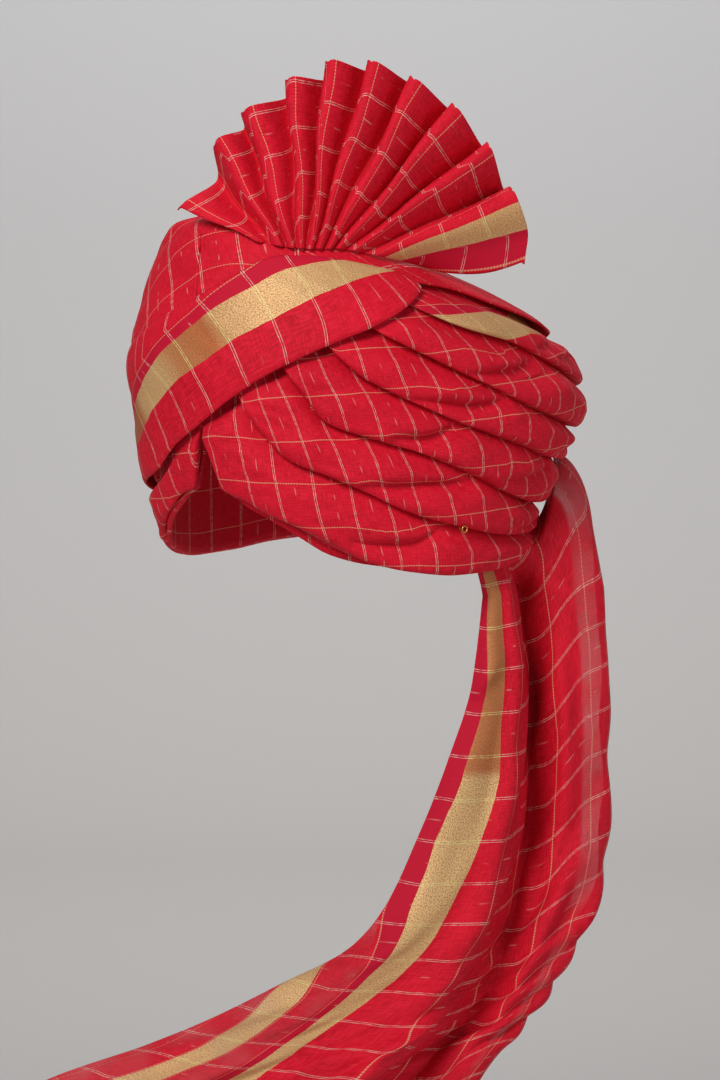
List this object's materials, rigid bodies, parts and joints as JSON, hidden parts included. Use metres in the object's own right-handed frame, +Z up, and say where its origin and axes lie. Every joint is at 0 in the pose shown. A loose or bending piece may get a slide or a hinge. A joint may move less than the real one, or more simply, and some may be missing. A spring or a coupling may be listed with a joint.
{
  "type": "tied turban pagri",
  "caption": "Tied turban of checked cloth with a woven gold border, wound in folds over a head, with a pleated fan on the crown and a long loose tail.",
  "frame": {"origin": "middle of the head opening at hat-band height", "axes": "the wearer faces -Y, the wearer's left is +X, +Z is up through the crown"},
  "size_m": [0.2306, 0.4032, 0.5867],
  "materials": {
    "checked_cloth": "matt silk-cotton with fine metallic check lines",
    "border_cloth": "the same cloth with a woven gold border",
    "tail_cloth": "single sheer layer of the same cloth",
    "brass_wire": "polished"
  },
  "bodies": {
    "root": {"inner_wrap": "checked_cloth", "fold_1": "checked_cloth", "fold_2": "checked_cloth", "fold_3": "checked_cloth", "fold_4": "checked_cloth", "fold_5": "checked_cloth", "fold_6": "checked_cloth", "crown_panel": "checked_cloth", "front_band": "border_cloth", "fan": "checked_cloth", "tail": "tail_cloth", "pin": "brass_wire"}
  },
  "joints": []
}
